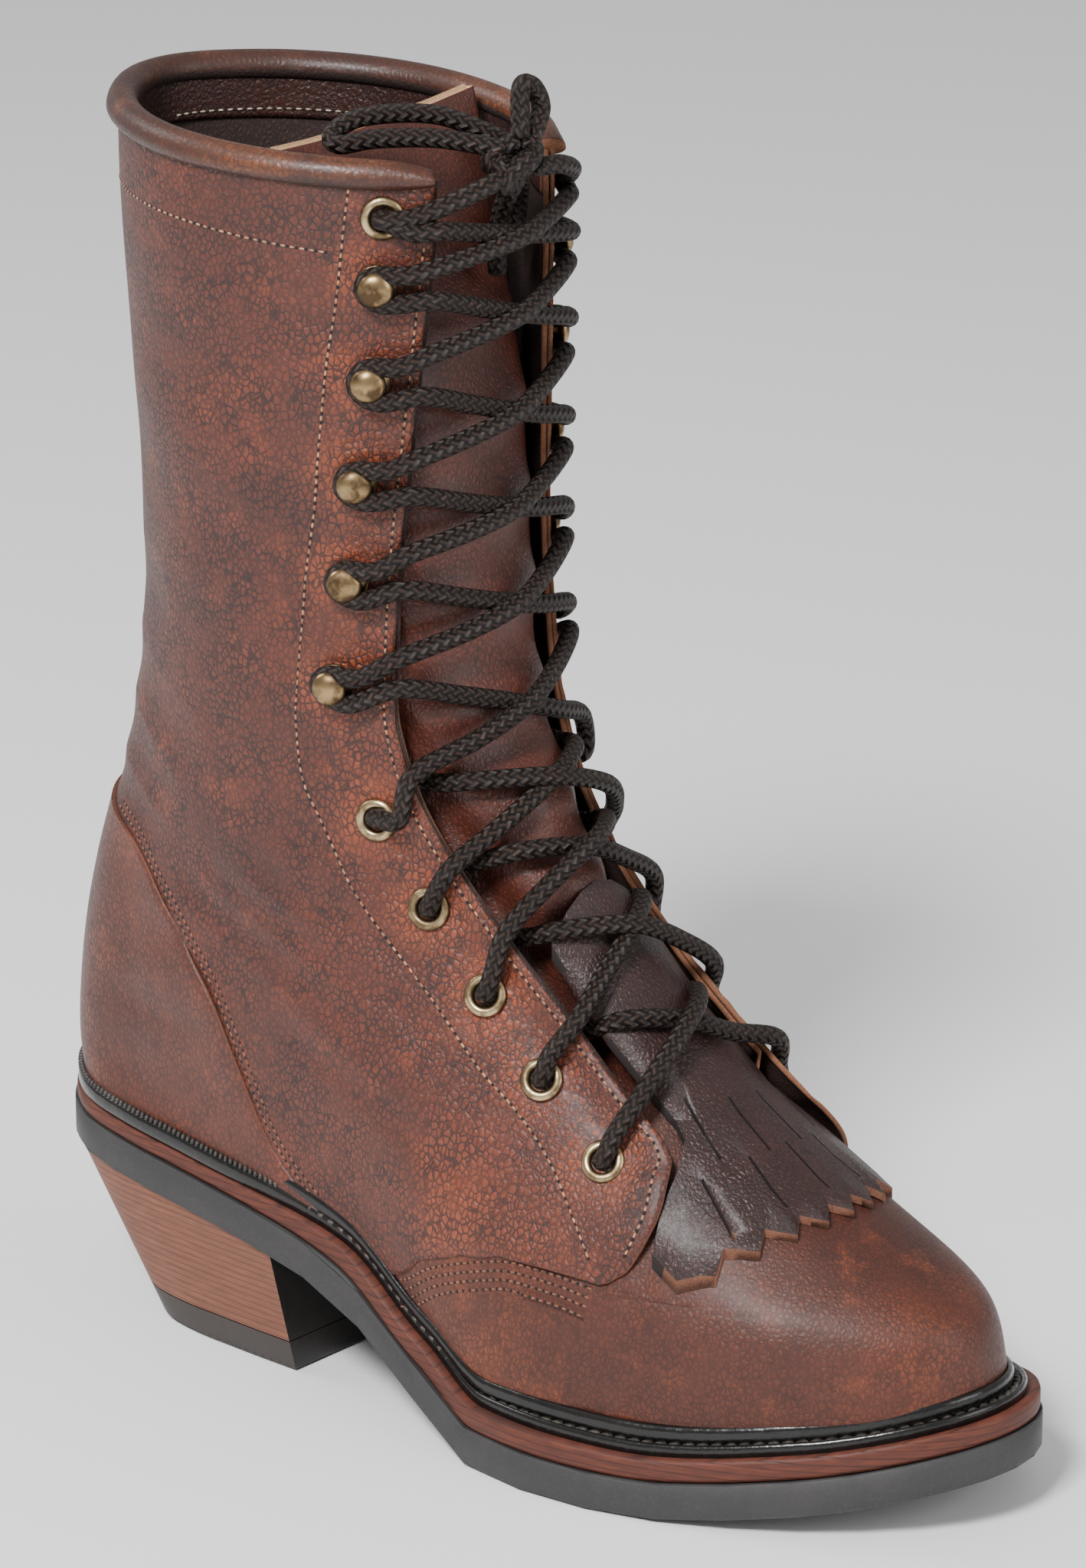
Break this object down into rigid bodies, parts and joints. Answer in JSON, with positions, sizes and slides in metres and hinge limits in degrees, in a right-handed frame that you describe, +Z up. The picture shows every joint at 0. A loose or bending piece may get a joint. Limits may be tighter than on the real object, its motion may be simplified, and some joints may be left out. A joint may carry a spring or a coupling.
{
  "type": "packer boot",
  "caption": "Tall lace-up leather boot for the right foot, with eyelets below hooks, a fringed false tongue, a welted sole, a low stacked heel and a rolled collar.",
  "frame": {"origin": "centre of the heel's flat rest face, on the surface that the boot stands on", "axes": "+X towards the toe, +Y towards the inner side of the foot, +Z up"},
  "size_m": [0.292, 0.1115, 0.3371],
  "materials": {
    "upper_leather": "full grain leather, oiled, with a soft sheen",
    "collar_leather": "rolled edge of the same leather, lightly scuffed",
    "tongue_leather": "softer and darker leather, low sheen",
    "kiltie_leather": "dark waxed leather with raw tan edges",
    "midsole_leather": "edge of sole leather, waxed",
    "heel_stack": "stacked leather lifts, waxed edge",
    "outsole_rubber": "moulded rubber, dull",
    "lift_rubber": "moulded rubber, dull",
    "welt_rubber": "black dressed welt, glossy",
    "insole_felt": "cork and leather insole, matt",
    "antique_brass": "darkened brass, polished on the high spots",
    "lace_cord": "round braided polyester cord"
  },
  "bodies": {
    "root": {"outsole": "outsole_rubber", "midsole": "midsole_leather", "welt": "welt_rubber", "insole": "insole_felt", "heel_block": "heel_stack", "top_lift": "lift_rubber", "upper": "upper_leather", "collar_roll": "collar_leather", "tongue": "tongue_leather", "kiltie": "kiltie_leather", "eyelet_outer_1": "antique_brass", "eyelet_outer_2": "antique_brass", "eyelet_outer_3": "antique_brass", "eyelet_outer_4": "antique_brass", "eyelet_outer_5": "antique_brass", "eyelet_outer_6": "antique_brass", "eyelet_inner_1": "antique_brass", "eyelet_inner_2": "antique_brass", "eyelet_inner_3": "antique_brass", "eyelet_inner_4": "antique_brass", "eyelet_inner_5": "antique_brass", "eyelet_inner_6": "antique_brass", "hook_outer_1": "antique_brass", "hook_outer_2": "antique_brass", "hook_outer_3": "antique_brass", "hook_outer_4": "antique_brass", "hook_outer_5": "antique_brass", "hook_inner_1": "antique_brass", "hook_inner_2": "antique_brass", "hook_inner_3": "antique_brass", "hook_inner_4": "antique_brass", "hook_inner_5": "antique_brass", "lace_bar": "lace_cord", "lace_crossing_1": "lace_cord", "lace_crossing_2": "lace_cord", "lace_crossing_3": "lace_cord", "lace_crossing_4": "lace_cord", "lace_crossing_5": "lace_cord", "lace_crossing_6": "lace_cord", "lace_crossing_7": "lace_cord", "lace_crossing_8": "lace_cord", "lace_crossing_9": "lace_cord", "lace_crossing_10": "lace_cord", "lace_knot": "lace_cord", "lace_loop_left": "lace_cord", "lace_loop_up": "lace_cord", "lace_end_front": "lace_cord", "lace_end_back": "lace_cord", "lace_feed_outer": "lace_cord", "lace_feed_inner": "lace_cord"}
  },
  "joints": []
}
